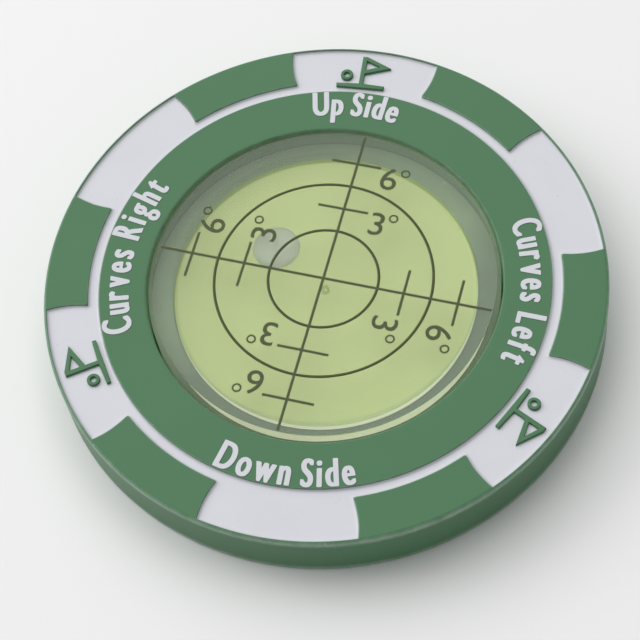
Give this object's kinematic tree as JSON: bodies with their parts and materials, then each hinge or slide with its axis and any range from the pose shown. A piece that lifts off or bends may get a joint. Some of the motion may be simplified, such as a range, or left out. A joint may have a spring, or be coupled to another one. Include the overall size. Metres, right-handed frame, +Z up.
{
  "type": "ball marker",
  "caption": "Round poker-chip style golf ball marker: enamelled die-cast chip with a circular bubble level in the middle that shows the slope of the green.",
  "frame": {"origin": "centre of the flat back face, which the marker rests on", "axes": "+Z up through the dial, +Y towards the middle of the segment with the first emblem"},
  "size_m": [0.04, 0.04, 0.0048],
  "materials": {
    "green_paint": "satin green paint on die-cast zinc",
    "white_enamel": "glossy white soft enamel",
    "white_film": "matt white reflecting film",
    "adhesive": "cured clear adhesive",
    "clear_acrylic": "clear moulded acrylic",
    "tinted_spirit": "yellow-green dyed spirit",
    "air": "air bubble"
  },
  "bodies": {
    "chip": {"chip_body": "green_paint", "front_enamel": "white_enamel", "back_enamel": "white_enamel", "reflector_disc": "white_film", "adhesive_ring": "adhesive", "vial_cup": "clear_acrylic", "fill_plug": "clear_acrylic", "vial_lens": "clear_acrylic"},
    "liquid": {"vial_liquid": "tinted_spirit"},
    "bubble": {"air_bubble": "air"}
  },
  "joints": [
    {"name": "liquid_swirl", "type": "hinge", "parent": "chip", "child": "liquid", "pos_m": [0, 0, 0.0025], "axis": [0, 0, 1], "continuous": true},
    {"name": "bubble_travel", "type": "hinge", "parent": "liquid", "child": "bubble", "pos_m": [0, 0, -0.09279], "axis": [-0.5373, -0.8434, 0], "range_deg": [-8.14, 2.68], "stiffness_Nm_per_rad": 0.00006, "springref_deg": -2.73}
  ]
}
